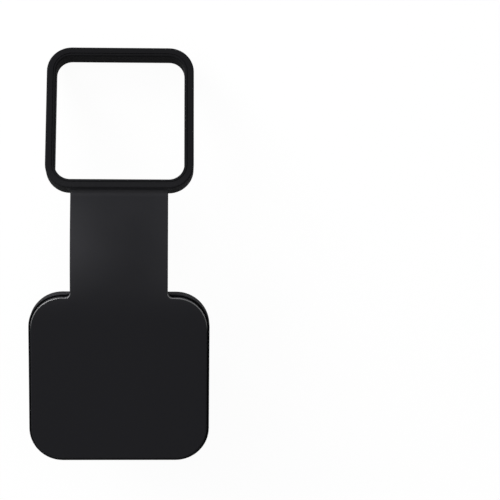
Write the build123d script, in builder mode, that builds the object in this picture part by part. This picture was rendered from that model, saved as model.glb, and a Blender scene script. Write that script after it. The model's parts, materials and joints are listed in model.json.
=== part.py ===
from build123d import *
import math
import os

# A cover for the square receiver tube of a tow hitch, moulded in one piece of black rubber. The cap closes the
# tube's mouth with a plug that goes inside it, and a strap ties the cap to a collar that stays on the tube.
# It lies as it comes to rest with the plug down: the plug's rim stands on the surface z = 0, and the strap
# bends under its own weight until the collar's far edge touches the same surface.
# The origin is the middle of the plug's rim. +Z is up, and the strap leaves the cap towards +Y.

# Driving dimensions, in millimetres.

# The cap: an outer layer on a wider flange, with a recess round its foot and a parting groove round the flange.
cap_width = 89.0
cap_length = 84.4
cap_corner_radius = 16.5
outer_layer_thickness = 3.5
outer_layer_inset = 1.25
free_end_inset = 1.9
outer_edge_radius = 0.6
foot_recess_width = 0.75
foot_recess_depth = 1.2
flange_thickness = 7.2
flange_edge_radius = 0.4
flange_bevel = 0.4
parting_groove_width = 0.7
parting_groove_depth = 0.45

# The plug: its wall, and the tube that its ribs grip.
tube_bore = 50.8
rib_squeeze = 0.35
plug_length = 36.5
plug_wall = 4.0
plug_corner_radius = 8.0
plug_rim_chamfer = 0.8
plug_root_chamfer = 0.9

# The ribs on the plug's four faces.
rib_height = 2.75
rib_width = 4.4
rib_pair_spacing = 17.0
rib_end_gap = 6.5
rib_lead_in = 4.0
rib_edge_chamfer = 0.5

# The strap: an outer layer as thick as the cap's, and a narrower spine along its inner side.
strap_width = 47.8
strap_root_length = 3.6
strap_root_radius = 2.4
strap_bend_length = 50.0
spine_width = 30.0
spine_thickness = 3.0
spine_edge_chamfer = 0.7
gusset_length = 9.0

# The collar, which goes round the outside of the tube.
tube_outside = 63.5
collar_wall = 4.65
collar_depth = 10.0
collar_corner_radius = 12.3
collar_rise = 2.6
collar_front_radius = 0.9
collar_back_chamfer = 0.6
collar_bead_width = 1.2
collar_line_width = 0.4
collar_line_depth = 0.3

# Places that follow from them.
plug_width = tube_bore + 2 * rib_squeeze - 2 * rib_height
flange_top = plug_length + flange_thickness
cap_face = flange_top + outer_layer_thickness
layer_width = cap_width - 2 * outer_layer_inset
layer_length = cap_length - outer_layer_inset - free_end_inset
layer_end = cap_length / 2 - outer_layer_inset
layer_corner_radius = cap_corner_radius - outer_layer_inset
strap_thickness = outer_layer_thickness + spine_thickness
bend_start = layer_end + strap_root_length
collar_width = tube_outside + 2 * collar_wall
collar_opening_radius = collar_corner_radius - collar_wall


def strap_end(bend):
    """Y and Z of the end of the strap's outer face, once the strap has turned down by an angle."""
    radius = strap_bend_length / bend
    return bend_start + radius * math.sin(bend), cap_face - radius * (1 - math.cos(bend))


def collar_clearance(bend):
    """Height of the lower corner of the collar's far edge above the surface, once the strap has turned down."""
    behind = collar_depth - collar_rise
    back_corner = (collar_width - collar_back_chamfer) * math.sin(bend) + behind * math.cos(bend)
    end_corner = collar_width * math.sin(bend) + (behind - collar_back_chamfer) * math.cos(bend)
    return strap_end(bend)[1] - max(back_corner, end_corner)


# The strap's bend is the angle at which the collar's far edge touches the surface, found by halving a range.
least_bend = math.radians(1)
most_bend = math.radians(80)
halvings = 40
for halving in range(halvings):
    strap_bend = (least_bend + most_bend) / 2
    if collar_clearance(strap_bend) > 0:
        least_bend = strap_bend
    else:
        most_bend = strap_bend

bend_radius = strap_bend_length / strap_bend
collar_normal = (0, math.sin(strap_bend), math.cos(strap_bend))
collar_plane = Plane(origin=(0, *strap_end(strap_bend)), x_dir=(1, 0, 0), z_dir=collar_normal)
print(f"the strap turns down by {math.degrees(strap_bend):.2f} degrees on a radius of {bend_radius:.1f}")


def bent(depth, turn):
    """Y and Z of a point of the strap, by its depth below the outer face and the angle turned so far."""
    radius = bend_radius - depth
    return bend_start + radius * math.sin(turn), cap_face - bend_radius + radius * math.cos(turn)


def in_collar(depth):
    """Y and Z of the point at a depth below the strap's outer face, half way into the collar's near wall."""
    y, z = bent(depth, strap_bend)
    return y + collar_wall / 2 * math.cos(strap_bend), z - collar_wall / 2 * math.sin(strap_bend)


# One rib, on the plug's face towards +X. Its lower end is rounded off, to lead it into the tube.
with BuildPart() as rib:
    rib_face = plug_width / 2 + rib_height
    rib_seat = (plug_width - plug_wall) / 2
    with BuildSketch(Plane.XZ):
        with BuildLine():
            Polyline((plug_width / 2, rib_end_gap), (rib_seat, rib_end_gap), (rib_seat, plug_length))
            Polyline((rib_seat, plug_length), (rib_face, plug_length), (rib_face, rib_end_gap + rib_lead_in))
            TangentArc(
                (rib_face, rib_end_gap + rib_lead_in), (plug_width / 2, rib_end_gap), tangent=(0, -1)
            )
        make_face()
    extrude(amount=rib_width / 2, both=True)
    lead_edges = rib.edges().filter_by(GeomType.CIRCLE)
    chamfer(rib.edges().filter_by(Axis.Z).group_by(Axis.X)[-1] + lead_edges, rib_edge_chamfer)

# The outline of the cap's outer layer, which runs out into the strap's flat root. Growing it and shrinking it
# again fills the inside corner on each side of the root with a concave arc.
with BuildSketch() as layer_outline:
    with Locations((0, layer_end - layer_length / 2)):
        RectangleRounded(layer_width, layer_length, layer_corner_radius)
    with Locations((0, layer_end)):
        Rectangle(strap_width, 2 * strap_root_length)
    offset(amount=strap_root_radius, kind=Kind.INTERSECTION)
    offset(amount=-strap_root_radius)

# The cap with its plug.
with BuildPart() as cap:
    # The flange is rounded at its upper rim and bevelled at its lower one, with a parting groove half way up.
    with BuildSketch(Plane.XY.offset(plug_length)):
        RectangleRounded(cap_width, cap_length, cap_corner_radius)
    extrude(amount=flange_thickness)
    fillet(cap.edges().group_by(Axis.Z)[-1], flange_edge_radius)
    chamfer(cap.edges().group_by(Axis.Z)[0], flange_bevel)
    groove_bottom = plug_length + (flange_thickness - parting_groove_width) / 2
    with BuildSketch(Plane.XY.offset(groove_bottom)):
        RectangleRounded(cap_width, cap_length, cap_corner_radius)
        offset(amount=-parting_groove_depth, mode=Mode.SUBTRACT)
    extrude(amount=parting_groove_width, mode=Mode.SUBTRACT)

    # A recess sets the outer layer off from the flange, and follows it to the strap's root.
    with BuildSketch(Plane.XY.offset(flange_top)):
        add(layer_outline.sketch)
        offset(amount=foot_recess_width)
        add(layer_outline.sketch, mode=Mode.SUBTRACT)
    extrude(amount=-foot_recess_depth, mode=Mode.SUBTRACT)
    with BuildSketch(Plane.XY.offset(flange_top)):
        add(layer_outline.sketch)
    extrude(amount=outer_layer_thickness)
    face_outline = cap.edges().group_by(Axis.Z)[-1].sort_by(Axis.Y)[:-1]
    fillet(face_outline, outer_edge_radius)

    # The plug is a square tube with large corners, closed by the flange and open at its rim.
    with BuildSketch(Plane.XY):
        RectangleRounded(plug_width, plug_width, plug_corner_radius)
    extrude(amount=plug_length)
    underside = cap.faces().filter_by(Axis.Z).group_by(Axis.Z)[1][0]
    chamfer(underside.inner_wires().edges(), plug_root_chamfer)
    with BuildSketch(Plane.XY):
        RectangleRounded(plug_width, plug_width, plug_corner_radius)
        offset(amount=-plug_wall, mode=Mode.INTERSECT)
    extrude(amount=plug_length, mode=Mode.SUBTRACT)
    chamfer(cap.edges().group_by(Axis.Z)[0], plug_rim_chamfer)

    # One rib stands on each side face, and two on the faces at the free end and at the strap.
    side_ribs = [Location((0, 0, 0), (0, 0, turn)) for turn in (0, 180)]
    paired_ribs = [
        Location((0, 0, 0), (0, 0, turn)) * Location((0, place * rib_pair_spacing / 2, 0))
        for turn in (90, 270)
        for place in (-1, 1)
    ]
    with Locations(*side_ribs, *paired_ribs):
        add(rib.part)

# The strap's outer layer, bent from the flat root at the cap to the middle of the collar's near wall.
with BuildPart() as strap_layer:
    with BuildSketch(Plane.YZ):
        with BuildLine():
            ThreePointArc(bent(0, 0), bent(0, strap_bend / 2), bent(0, strap_bend))
            Polyline(bent(0, strap_bend), in_collar(0), in_collar(outer_layer_thickness))
            Line(in_collar(outer_layer_thickness), bent(outer_layer_thickness, strap_bend))
            ThreePointArc(
                bent(outer_layer_thickness, strap_bend),
                bent(outer_layer_thickness, strap_bend / 2),
                bent(outer_layer_thickness, 0),
            )
            Line(bent(outer_layer_thickness, 0), bent(0, 0))
        make_face()
    extrude(amount=strap_width / 2, both=True)
    outer_arcs = strap_layer.edges().filter_by(GeomType.CIRCLE).sort_by(SortBy.RADIUS)[-2:]
    fillet(outer_arcs, outer_edge_radius)

# The spine on the strap's inner side. A gusset thickens it where it meets the flange's lower rim.
with BuildPart() as spine:
    spine_top = outer_layer_thickness / 2
    gusset_turn = gusset_length / (bend_radius - strap_thickness)
    gusset_foot = (cap_length / 2, plug_length + flange_bevel)
    seat_y = cap_length / 2 - 2 * parting_groove_depth
    seat_z = bent(spine_top, 0)[1]
    gusset_way = (-math.cos(gusset_turn), math.sin(gusset_turn))
    with BuildSketch(Plane.YZ):
        with BuildLine():
            Polyline(gusset_foot, (seat_y, gusset_foot[1]), (seat_y, seat_z), bent(spine_top, 0))
            ThreePointArc(bent(spine_top, 0), bent(spine_top, strap_bend / 2), bent(spine_top, strap_bend))
            Polyline(
                bent(spine_top, strap_bend),
                in_collar(spine_top),
                in_collar(strap_thickness),
                bent(strap_thickness, strap_bend),
            )
            ThreePointArc(
                bent(strap_thickness, strap_bend),
                bent(strap_thickness, (strap_bend + gusset_turn) / 2),
                bent(strap_thickness, gusset_turn),
            )
            TangentArc(bent(strap_thickness, gusset_turn), gusset_foot, tangent=gusset_way)
        make_face()
    extrude(amount=spine_width / 2, both=True)
    inner_arcs = spine.edges().filter_by(GeomType.CIRCLE).sort_by(SortBy.RADIUS)[:-2]
    chamfer(inner_arcs, spine_edge_chamfer)

# The collar, a square band whose front stands a little proud of the strap, with a fine line round its opening.
with BuildPart() as collar:
    with BuildSketch(collar_plane.offset(collar_rise - collar_depth)):
        with Locations((0, collar_width / 2)):
            RectangleRounded(collar_width, collar_width, collar_corner_radius)
            RectangleRounded(tube_outside, tube_outside, collar_opening_radius, mode=Mode.SUBTRACT)
    extrude(amount=collar_depth)
    along_collar = Axis(collar_plane.origin, collar_normal)
    back, front = collar.faces().sort_by(along_collar)[0], collar.faces().sort_by(along_collar)[-1]
    fillet(front.outer_wire().edges() + front.inner_wires().edges(), collar_front_radius)
    chamfer(back.outer_wire().edges() + back.inner_wires().edges(), collar_back_chamfer)
    line_inside = tube_outside + 2 * collar_bead_width
    line_outside = line_inside + 2 * collar_line_width
    with BuildSketch(collar_plane.offset(collar_rise - collar_line_depth)):
        with Locations((0, collar_width / 2)):
            RectangleRounded(
                line_outside, line_outside, collar_opening_radius + collar_bead_width + collar_line_width
            )
            RectangleRounded(
                line_inside, line_inside, collar_opening_radius + collar_bead_width, mode=Mode.SUBTRACT
            )
    extrude(amount=collar_line_depth, mode=Mode.SUBTRACT)

# The whole cover is one moulding.
with BuildPart() as hitch_cover:
    add(cap.part)
    add(spine.part)
    add(strap_layer.part)
    add(collar.part)

hitch_cover.part.label = "hitch_cover"
os.makedirs("parts", exist_ok=True)
export_step(hitch_cover.part, "parts/hitch_cover.step")
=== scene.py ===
# %% [markdown]
# # A rubber hitch receiver cover
# The real thing is a single moulding of black rubber. A cap with a hollow, ribbed plug keeps dirt
# out of a square opening, and a strap ties it to a collar, so that it isn't lost while it hangs
# open.
#
# The CAD model already holds its true shape and size, down to the small radii that catch the
# light. So this file leaves the form alone and gives it what only Blender has: a lens, light, and
# a skin that looks like moulded rubber from near and far. Black rubber is a hard subject, because
# nearly all that is seen of it is its sheen.

import json
import math

import bpy
import numpy as np
from mathutils import Matrix, Vector


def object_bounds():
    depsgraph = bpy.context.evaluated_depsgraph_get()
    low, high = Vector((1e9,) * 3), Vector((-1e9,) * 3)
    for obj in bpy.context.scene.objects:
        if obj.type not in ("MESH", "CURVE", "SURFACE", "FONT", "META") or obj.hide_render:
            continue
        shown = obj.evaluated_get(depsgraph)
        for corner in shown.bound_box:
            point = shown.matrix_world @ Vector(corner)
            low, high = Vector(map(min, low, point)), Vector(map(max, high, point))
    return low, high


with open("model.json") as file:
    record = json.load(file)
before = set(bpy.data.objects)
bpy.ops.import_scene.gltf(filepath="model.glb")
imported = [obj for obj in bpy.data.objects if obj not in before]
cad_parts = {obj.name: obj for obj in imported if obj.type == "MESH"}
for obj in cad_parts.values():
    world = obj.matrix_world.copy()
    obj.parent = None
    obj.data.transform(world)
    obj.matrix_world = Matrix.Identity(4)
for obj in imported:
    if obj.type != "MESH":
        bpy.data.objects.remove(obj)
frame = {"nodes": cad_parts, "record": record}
cad_low, cad_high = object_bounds()
cover = frame["nodes"]["hitch_cover"]
scene = bpy.context.scene
scene.view_settings.view_transform = "Standard"

MM = 0.001
X_AXIS, Y_AXIS, Z_AXIS = Vector((1, 0, 0)), Vector((0, 1, 0)), Vector((0, 0, 1))
print("the cover measures", [round(side / MM, 1) for side in cad_high - cad_low], "mm")

# %% [markdown]
# ## The camera
# The cover lies on its plug and is seen almost straight from above, through a long lens, so its
# edges hardly converge. A camera can be aimed at a target, but then a small roll is awkward to
# add. Here its place and three angles are written down instead, and the three axes of the view
# are worked out from them: the way it looks, the way to its right, and the way up. They were
# found by fitting the outline of the CAD model to the photograph.

# %% Place the camera
CAMERA_PLACE = Vector((26.4, 220.7, 914.8)) * MM
CAMERA_PITCH = math.radians(10.17)
CAMERA_YAW = math.radians(2.432)
CAMERA_ROLL = math.radians(0.643)
CAMERA_LENS = 130.333
SENSOR_WIDTH = 36.0


def view_axes(pitch, yaw, roll):
    """Right, up and backward axes of a camera that looks down. Pitch leans its view towards -Y
    and yaw towards +X. Roll then turns the picture about the line of sight: the new right is
    right times cos plus up times sin, and the new up is up times cos less right times sin."""
    ahead = (math.sin(yaw), -math.sin(pitch) * math.cos(yaw), -math.cos(pitch) * math.cos(yaw))
    forward = Vector(ahead)
    right = forward.cross(Y_AXIS).normalized()
    up = right.cross(forward)
    turned_right = right * math.cos(roll) + up * math.sin(roll)
    turned_up = up * math.cos(roll) - right * math.sin(roll)
    return turned_right, turned_up, -forward


lens = bpy.data.cameras.new("camera")
lens.lens = CAMERA_LENS
lens.sensor_width = SENSOR_WIDTH
camera = bpy.data.objects.new("camera", lens)
scene.collection.objects.link(camera)
axes = Matrix(view_axes(CAMERA_PITCH, CAMERA_YAW, CAMERA_ROLL)).transposed()
camera.matrix_world = Matrix.Translation(CAMERA_PLACE) @ axes.to_4x4()
scene.camera = camera
print("the camera stands", round(CAMERA_PLACE.z, 3), "m above the floor")
print("and its lens is", CAMERA_LENS, "mm long")

# %% [markdown]
# ## Shader maths that reads like maths
# Materials in Blender are graphs of nodes. Wiring a graph by hand hides the formula, so this
# small class wraps one output of the graph, and adding or multiplying two of them adds the Math
# node that does it. The reflected forms, such as __rsub__, let a plain number stand on the left,
# as in 1 - mask.


# %% Wrap the sockets of a graph
class Value:
    """One output socket of a graph, or what is worked out from it."""

    def __init__(self, graph, socket):
        self.graph = graph
        self.socket = socket

    def math(self, operation, *others):
        return self.graph.node("ShaderNodeMath", {"operation": operation}, [self, *others])

    def __abs__(self):
        return self.math("ABSOLUTE")

    def __pow__(self, other):
        return self.math("POWER", other)

    def __add__(self, other):
        return self.math("ADD", other)

    __radd__ = __add__

    def __mul__(self, other):
        return self.math("MULTIPLY", other)

    __rmul__ = __mul__

    def __sub__(self, other):
        return self.math("SUBTRACT", other)

    def __rsub__(self, other):
        return self.graph.node("ShaderNodeMath", {"operation": "SUBTRACT"}, [other, self])

    def ramp(self, low, high):
        """Goes smoothly from 0 where the value is low to 1 where it is high. With the larger
        number as low it falls instead of rising."""
        settings = {"interpolation_type": "SMOOTHSTEP"}
        inputs = {"Value": self, "From Min": low, "From Max": high}
        return self.graph.node("ShaderNodeMapRange", settings, inputs)


class Graph:
    """The nodes of one material or world, and a single method that adds any of them."""

    def __init__(self, owner):
        self.owner = owner
        owner.use_nodes = True
        self.tree = owner.node_tree
        self.tree.nodes.clear()

    def node(self, kind, settings=None, inputs=(), output=0):
        """Adds a node: its settings first, then the values or links of its sockets, which are
        given by number or by name. The answer wraps the output that was asked for."""
        made = self.tree.nodes.new(kind)
        for key, value in (settings or {}).items():
            setattr(made, key, value)
        pairs = inputs.items() if isinstance(inputs, dict) else enumerate(inputs)
        for key, value in pairs:
            if isinstance(value, Value):
                self.tree.links.new(value.socket, made.inputs[key])
            else:
                made.inputs[key].default_value = value
        return Value(self, made.outputs[output])

    def finish(self, kind, shader):
        """Leads the finished shader to the output and says how many nodes the graph has."""
        out = self.tree.nodes.new(kind)
        self.tree.links.new(shader.socket, out.inputs["Surface"])
        print(self.owner.name, "has", len(self.tree.nodes), "nodes")
        return self.owner


# %% [markdown]
# ## Where the finish and the painted light change
# Rubber copies the skin of its mould, and this cover is not the same all over. So its skin has
# zones: the collar, the cap's rim with its coat and a painted highlight, the painted shade in the
# recess below it, the plug, and the painted light on the strap. Such zones could be painted on a
# map, but a map has to be stored and unwrapped. Here each one is a number between 0 and 1 that is
# worked out from where a point lies on the part. The places come from the imported record and the
# part's box, so they follow the CAD.

# %% Read the places of the zones
mounts = {mount["name"]: mount for mount in frame["record"]["mounts"]}
cap_face, cap_side, cap_end = cad_high.z, cad_high.x, -cad_low.y
plug_root = mounts["tube_seat"]["pos_m"][2]
ZONE_BLUR, SIDE_BLUR = 0.2 * MM, 2 * MM


def part_place(graph):
    """Object coordinates, whole and as x, y and z. The CAD node sits at the origin, so they are
    the part's own metres."""
    place = graph.node("ShaderNodeTexCoord", output="Object")
    parts = (graph.node("ShaderNodeSeparateXYZ", inputs=[place], output=name) for name in "XYZ")
    return place, *parts


print("the cap's face lies", round(cap_face / MM, 1), "mm above the floor")
print("and the plug starts", round(plug_root / MM, 1), "mm above it")

# %% [markdown]
# ## The collar
# The inserts of a mould are not all finished alike, and the collar comes out the dullest and
# blackest. Pale grey is painted in the crease in front of it, as painted light against the shade
# that the collar throws on the strap, and the collar itself is painted paler towards its near
# wall, as painted light. Its faces could be given a material of their own, but then the CAD mesh
# would have to be changed. Since the collar hangs at a slant, its zone is measured along its own
# slope
# instead: it starts where a point lies past the outside of the near wall.

# %% Find the collar
collar_centre = Vector(mounts["collar"]["pos_m"])
collar_normal = Vector(mounts["collar"]["axis"]).normalized()
collar_way = X_AXIS.cross(-collar_normal).normalized()
COLLAR_OPENING, COLLAR_WALL = 63.5 * MM, 4.65 * MM
collar_start = collar_centre.dot(collar_way) - COLLAR_OPENING / 2 - COLLAR_WALL
# How far the painted light reaches, into the crease and across the collar
CREASE_REACH, COLLAR_PAINTED_LIGHT_REACH = 4 * MM, 12 * MM


def collar_zones(graph, place):
    """1 on the collar, past its near wall. Then two shares of painted light that grow towards that
    wall: in the crease on the strap's side of it, against its shade, and on the collar itself."""
    settings = {"operation": "DOT_PRODUCT"}
    along = graph.node("ShaderNodeVectorMath", settings, [place, tuple(collar_way)], "Value")
    past_wall = along.ramp(collar_start - ZONE_BLUR, collar_start + ZONE_BLUR)
    in_crease = along.ramp(collar_start - CREASE_REACH, collar_start)
    return past_wall, in_crease, along.ramp(collar_start + COLLAR_PAINTED_LIGHT_REACH, collar_start)


print("the collar leans by", round(math.degrees(collar_normal.angle(Z_AXIS)), 1), "degrees")

# %% [markdown]
# ## The cap's rim and recess
# The rounded edge of the cap's strap side has a glossy coat, and its paler colour is a painted
# highlight. The recess at the foot of the same layer is painted deep black, which is painted
# shade.
# A renderer can find edges by their curvature, but an export loses that. Both zones keep to the
# cap's outline and to one height, so two heights and the distance from a rounded rectangle are
# enough.

# %% Find the rim and the recess
RIM_RADIUS, RIM_FADE = 0.6 * MM, 0.9 * MM
RIM_LEFT_OUT, RIM_FULL = 0.02 * MM, 0.15 * MM
STRAP_SIDE_FROM, STRAP_SIDE_TO = 24 * MM, 31 * MM
CAP_CORNER, LAYER_THICKNESS = 16.5 * MM, 3.5 * MM
RECESS_FROM_EDGE = 0.45 * MM


# The rim zone weighs the glossy coat and the painted highlight
def rim_zone(y, z):
    """1 on the rounded upper edge of the cap's strap side: below its flat face and above its
    upright wall."""
    below_face = z.ramp(cap_face - RIM_LEFT_OUT, cap_face - RIM_FULL)
    above_wall = z.ramp(cap_face - RIM_RADIUS - RIM_FADE, cap_face - RIM_RADIUS)
    strap_side = y.ramp(STRAP_SIDE_FROM, STRAP_SIDE_TO) * (1 - y.ramp(cap_end, cap_end + SIDE_BLUR))
    return below_face * above_wall * strap_side


# The recess zone is where painted shade goes
def recess_zone(x, y, z):
    """1 in the narrow recess round the foot of the cap's outer layer. The distance from the
    cap's outline is that from a rectangle smaller by the corner radius, less that radius: the
    root of the two squared overhangs."""
    over_x = (abs(x) - (cap_side - CAP_CORNER)).math("MAXIMUM", 0.0)
    over_y = (abs(y) - (cap_end - CAP_CORNER)).math("MAXIMUM", 0.0)
    from_edge = CAP_CORNER - (over_x * over_x + over_y * over_y) ** 0.5
    ledge = cap_face - LAYER_THICKNESS
    inside = from_edge.ramp(RECESS_FROM_EDGE - ZONE_BLUR, RECESS_FROM_EDGE)
    return inside * z.ramp(ledge, ledge - ZONE_BLUR)


print("the rounded rim is", round(RIM_RADIUS / MM, 1), "mm wide")

# %% [markdown]
# ## The plug and the painted light on the strap
# The plug comes out of the mould smoother, because it has to slide in and out. The strap is
# painted paler than the cap, more so towards the collar, as painted light where it slopes towards
# the light from behind. Its edges are painted paler still at half length, the left one most, as
# painted light from the left. It is only a paler colour.

# %% Find the plug and the painted light
PLUG_END = 27 * MM
# Where the strap's painted light grows, lengthwise and across
PAINTED_LIGHT_FROM, PAINTED_LIGHT_TO = 26 * MM, 50 * MM
PAINTED_LIGHT_MIDDLE, PAINTED_LIGHT_REACH = 66 * MM, 36 * MM
PAINTED_LIGHT_CENTRE, PAINTED_LIGHT_HALF = 8 * MM, 29 * MM


def plug_zone(y, z):
    """1 on the plug and its ribs: below the underside of the cap, and not as far out as the
    strap."""
    below_cap = z.ramp(plug_root, plug_root - ZONE_BLUR)
    return below_cap * (1 - y.ramp(PLUG_END, PLUG_END + SIDE_BLUR))


def painted_light_zone(x, y):
    """Painted light on the strap: 0 on the cap and growing towards the collar. Then painted light
    on
    its edges, strongest at half length: the square of the distance from a middle line, which lies
    right of the strap's middle so that the left edge gets more, faded out lengthwise."""
    across = (x - PAINTED_LIGHT_CENTRE) * (1 / PAINTED_LIGHT_HALF)
    near_middle = abs(y - PAINTED_LIGHT_MIDDLE).ramp(PAINTED_LIGHT_REACH, 0.0)
    return y.ramp(PAINTED_LIGHT_FROM, PAINTED_LIGHT_TO), across * across * near_middle


print("the film starts", round(PAINTED_LIGHT_FROM / MM), "mm from the middle of the cap")

# %% [markdown]
# ## The grain of the mould
# A steel mould is blasted or etched, which leaves a fine grain on the rubber, and the rubber
# shrinks as it cools, which leaves slow waves. Neither is worth any geometry. One noise texture
# gives the grain and another the waves, and both are used as heights in metres, so the Bump node
# gets their true slopes.

# %% Make the uneven skin
GRAIN_SCALE, GRAIN_DETAIL, GRAIN_HEIGHT = 2400.0, 3.0, 0.006 * MM
WAVE_SCALE, WAVE_DETAIL, WAVE_HEIGHT = 26.0, 2.0, 0.12 * MM
IN_METRES = {"Distance": 1.0, "Strength": 1.0}


def noise(graph, place, scale, detail):
    """Noise between 0 and 1, and about a half on average."""
    inputs = {"Vector": place, "Scale": scale, "Detail": detail}
    return graph.node("ShaderNodeTexNoise", inputs=inputs)


def moulded_skin(graph, place):
    """The slopes of the skin, and the waves alone."""
    grain = noise(graph, place, GRAIN_SCALE, GRAIN_DETAIL)
    wave = noise(graph, place, WAVE_SCALE, WAVE_DETAIL)
    height = grain * GRAIN_HEIGHT + wave * WAVE_HEIGHT
    return graph.node("ShaderNodeBump", inputs={"Height": height, **IN_METRES}), wave


print("the grain is", round(GRAIN_HEIGHT / MM, 3), "mm deep")
print("and the waves are", round(WAVE_HEIGHT / MM, 2), "mm deep")

# %% [markdown]
# ## The blacks
# Moulded rubber is nearly black, and no two parts of it are the same black. The colours could be
# mixed by hand for each place, but here the rubber is mixed with a pale grey, and the share of
# that grey is painted light on the strap, in the crease and on the collar. The waves make it a
# little patchy. A painted highlight goes on the cap's rim, and the painted shade in the recess
# comes last.

# %% Mix the colours
CAP_COLOUR = (0.0085, 0.0085, 0.0098, 1)
COLLAR_COLOUR = (0.0042, 0.0042, 0.0047, 1)
PLUG_COLOUR = (0.0100, 0.0100, 0.0108, 1)
# Painted shade for the recess
RECESS_PAINTED_SHADE = (0.0015, 0.0015, 0.0017, 1)
# Pale grey for the painted light
PAINTED_LIGHT_GREY = (0.0200, 0.0200, 0.0220, 1)
# Paler grey for the painted highlight on the rim
RIM_PAINTED_HIGHLIGHT = (0.0550, 0.0550, 0.0570, 1)
# Shares of painted light: strap middle, strap edges, crease, and random patches
MIDDLE_PAINTED_LIGHT, EDGE_PAINTED_LIGHT, CREASE_PAINTED_LIGHT, PATCHES = 0.23, 0.65, 1.1, 0.6
# Painted light on the collar towards its near wall, and random patches
COLLAR_PAINTED_LIGHT, COLLAR_PATCHES = 0.16, 0.16
MIX_SHARE, MIX_FIRST, MIX_SECOND, MIX_RESULT = 0, 6, 7, 2


def blend(graph, share, first, second):
    """Mixes two colours: the first where the share is 0 and the second where it is 1. The Mix
    node's colour sockets share their names with others, so they are given by number."""
    inputs = {MIX_SHARE: share, MIX_FIRST: first, MIX_SECOND: second}
    return graph.node("ShaderNodeMix", {"data_type": "RGBA"}, inputs, MIX_RESULT)


def body_colour(graph, place, crease_painted_light, swing, rim):
    """The colour of the cap and the strap, from x, y and z, the painted light in the crease, the
    waves about their middle and the rim zone: painted light, a painted highlight on the rim and
    painted shade in the recess."""
    x, y, z = place
    painted_light, edge_painted_light = painted_light_zone(x, y)
    # Painted light on the strap and in the crease, a little patchy
    layers = MIDDLE_PAINTED_LIGHT + EDGE_PAINTED_LIGHT * edge_painted_light + CREASE_PAINTED_LIGHT * crease_painted_light + PATCHES * swing
    with_painted_light = blend(graph, painted_light * layers, CAP_COLOUR, PAINTED_LIGHT_GREY)
    # Painted highlight on the rim
    with_painted_highlight = blend(graph, rim, with_painted_light, RIM_PAINTED_HIGHLIGHT)
    # Painted shade in the recess
    return blend(graph, recess_zone(x, y, z), with_painted_highlight, RECESS_PAINTED_SHADE)


print("the film is", round(PAINTED_LIGHT_GREY[0] / CAP_COLOUR[0], 1), "times as pale as the rubber")

# %% [markdown]
# ## The rubber
# What makes black rubber look like rubber is its sheen, broad and dull. Three Principled shaders
# are mixed, for the body, the plug and the collar. One shader with a changing level of
# reflection would also do, but what is a plain number all over a surface survives an export
# best. The cap's rim has a clear coat on the body, whose weight is the rim zone: a coat brings
# a gloss of its own.

# %% Dress the cover
BODY_ROUGHNESS, COLLAR_ROUGHNESS, PLUG_ROUGHNESS, RIM_ROUGHNESS = 0.70, 0.80, 0.45, 0.25
BODY_LEVEL, COLLAR_LEVEL, PLUG_LEVEL, RIM_COAT = 0.03, 0.02, 0.10, 1.0
NOISE_MIDDLE = 0.5
CLOUDING = 0.06


def rubber(graph, colour, roughness, level, skin, coat):
    """One Principled shader with the sheen of rubber."""
    inputs = {"Base Color": colour, "Roughness": roughness, "Specular IOR Level": level}
    return graph.node("ShaderNodeBsdfPrincipled", inputs={**inputs, "Normal": skin, **coat})


def black_rubber():
    """The skin of the whole cover, in its zones."""
    graph = Graph(bpy.data.materials.new("moulded_black_rubber"))
    place, x, y, z = part_place(graph)
    skin, wave = moulded_skin(graph, place)
    swing = wave - NOISE_MIDDLE
    cloud = swing * CLOUDING
    on_collar, crease_painted_light, collar_painted_light = collar_zones(graph, place)

    # The rim zone is the coat's weight and the painted highlight's share
    rim = rim_zone(y, z)
    colour = body_colour(graph, (x, y, z), crease_painted_light, swing, rim)
    coat = {"Coat Weight": RIM_COAT * rim, "Coat Roughness": RIM_ROUGHNESS}
    body = rubber(graph, colour, BODY_ROUGHNESS + cloud, BODY_LEVEL, skin, coat)
    plug = rubber(graph, PLUG_COLOUR, PLUG_ROUGHNESS + cloud, PLUG_LEVEL, skin, {})
    # Painted light on the collar, paler towards its near wall
    layers = COLLAR_PAINTED_LIGHT * collar_painted_light + COLLAR_PATCHES * wave
    dull = blend(graph, layers, COLLAR_COLOUR, PAINTED_LIGHT_GREY)
    collar = rubber(graph, dull, COLLAR_ROUGHNESS + cloud, COLLAR_LEVEL, skin, {})

    cap_and_strap = graph.node("ShaderNodeMixShader", inputs=[plug_zone(y, z), body, plug])
    whole = graph.node("ShaderNodeMixShader", inputs=[on_collar, cap_and_strap, collar])
    return graph.finish("ShaderNodeOutputMaterial", whole)


cover.material_slots[0].material = black_rubber()

# %% [markdown]
# ## The white ground
# Product pictures of black things are taken on white. A floor can be made white with more light,
# but that light would also fall on the rubber and grey it. Instead the floor is an ordinary
# white card, mixed with a flat white that only the camera and mirror-like rays see. The share of
# the card is what keeps the soft shadow under the cover. The mask takes in glossy and
# transmission rays, so that any gloss shows the same ground as the camera.

# %% Lay the floor
FLOOR_HALF = 4.0
FLOOR_CORNERS = ((-1, -1, 0), (1, -1, 0), (1, 1, 0), (-1, 1, 0))
CARD_COLOUR = (0.8, 0.8, 0.8, 1)
WHITE, WHITE_STRENGTH = (1.0, 1.0, 1.0, 1), 1.0
WHITE_SHARE = 0.95


def seen_directly(graph):
    """1 for rays from the camera and for rays that a glossy or clear surface has sent on,
    otherwise 0."""
    camera_ray = graph.node("ShaderNodeLightPath", output="Is Camera Ray")
    glossy_ray = graph.node("ShaderNodeLightPath", output="Is Glossy Ray")
    clear_ray = graph.node("ShaderNodeLightPath", output="Is Transmission Ray")
    return camera_ray.math("MAXIMUM", glossy_ray).math("MAXIMUM", clear_ray)


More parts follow.
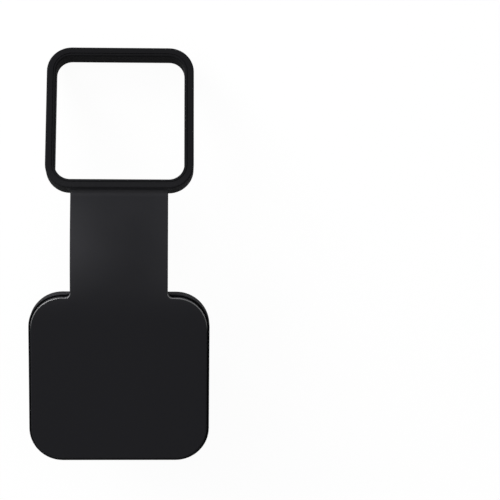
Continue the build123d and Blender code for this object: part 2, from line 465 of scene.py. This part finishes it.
def white_card():
    """White card with a share of flat white for the rays that see it directly."""
    graph = Graph(bpy.data.materials.new("white_card"))
    card = graph.node("ShaderNodeBsdfDiffuse", inputs={"Color": CARD_COLOUR})
    white = {"Color": WHITE, "Strength": WHITE_STRENGTH}
    flat_white = graph.node("ShaderNodeEmission", inputs=white)
    share = seen_directly(graph) * WHITE_SHARE
    shown = graph.node("ShaderNodeMixShader", inputs=[share, card, flat_white])
    return graph.finish("ShaderNodeOutputMaterial", shown)


corners = np.array(FLOOR_CORNERS) * FLOOR_HALF
floor_mesh = bpy.data.meshes.new("floor")
floor_mesh.from_pydata(corners.tolist(), [], [(0, 1, 2, 3)])
floor_mesh.materials.append(white_card())
floor = bpy.data.objects.new("floor", floor_mesh)
scene.collection.objects.link(floor)
print("the floor is", 2 * FLOOR_HALF, "m wide")

# %% [markdown]
# ## The room
# Past the floor's edge a low camera looks into the world. Its colour is also its light, so a
# white world would light the rubber from everywhere. The same mask parts the two: white where it
# is seen directly, and only a dim grey as light.

# %% Fill the room
AMBIENT = 0.08
room = Graph(bpy.data.worlds.new("studio"))
dim_light = room.node("ShaderNodeBackground", inputs={"Color": WHITE, "Strength": AMBIENT})
white_wall = room.node("ShaderNodeBackground", inputs={"Color": WHITE, "Strength": WHITE_STRENGTH})
shown_room = room.node("ShaderNodeMixShader", inputs=[seen_directly(room), dim_light, white_wall])
scene.world = room.finish("ShaderNodeOutputWorld", shown_room)

# %% [markdown]
# ## The lamps
# Black rubber is drawn by what it reflects, so each lamp has one thing to draw. A large box high
# up behind gives the flat faces their even grey, and makes the strap, which slopes away from the
# cap, paler than the cap. A long, low strip behind on the left is what the cap's rounded edge
# reflects: it turns that edge into a thin bright line on the strap's side and leaves the other
# sides dark. The three weak boxes, on the left, on the right and in front, only keep the upright
# walls and the crease from going quite black. A point lamp in place of the strip would leave one
# hot spot, and no line.

# %% Hang the lamps
middle = (cad_low + cad_high) / 2
# azimuth and elevation in degrees, distance, width and height in metres, and power in watts
LAMPS = {
    "back_strip": (-38, 17, 1.3, 1.0, 0.3, 28),
    "top_box": (0, 58, 1.6, 1.6, 1.2, 11),
    "left_box": (-70, 40, 1.3, 1.0, 0.6, 6),
    "right_box": (80, 30, 1.3, 1.0, 0.6, 4),
    "front_box": (-165, 40, 1.5, 1.4, 1.0, 8),
}


def hang_lamp(name, azimuth, elevation, distance, width, height, power):
    """A soft box that looks at the middle of the cover. Azimuth 0 is behind the collar, and it
    grows to the right."""
    turn, rise = math.radians(azimuth), math.radians(elevation)
    level = math.cos(rise)
    away = Vector((math.sin(turn) * level, math.cos(turn) * level, math.sin(rise)))
    facing = away.to_track_quat("Z", "Y").to_matrix().to_4x4()
    light = bpy.data.lights.new(name, "AREA")
    light.shape = "RECTANGLE"
    light.size, light.size_y = width, height
    light.energy = power
    lamp = bpy.data.objects.new(name, light)
    lamp.matrix_world = Matrix.Translation(middle + away * distance) @ facing
    scene.collection.objects.link(lamp)
    print(name, "hangs", round(lamp.matrix_world.translation.z, 2), "m up")


for name, values in LAMPS.items():
    hang_lamp(name, *values)
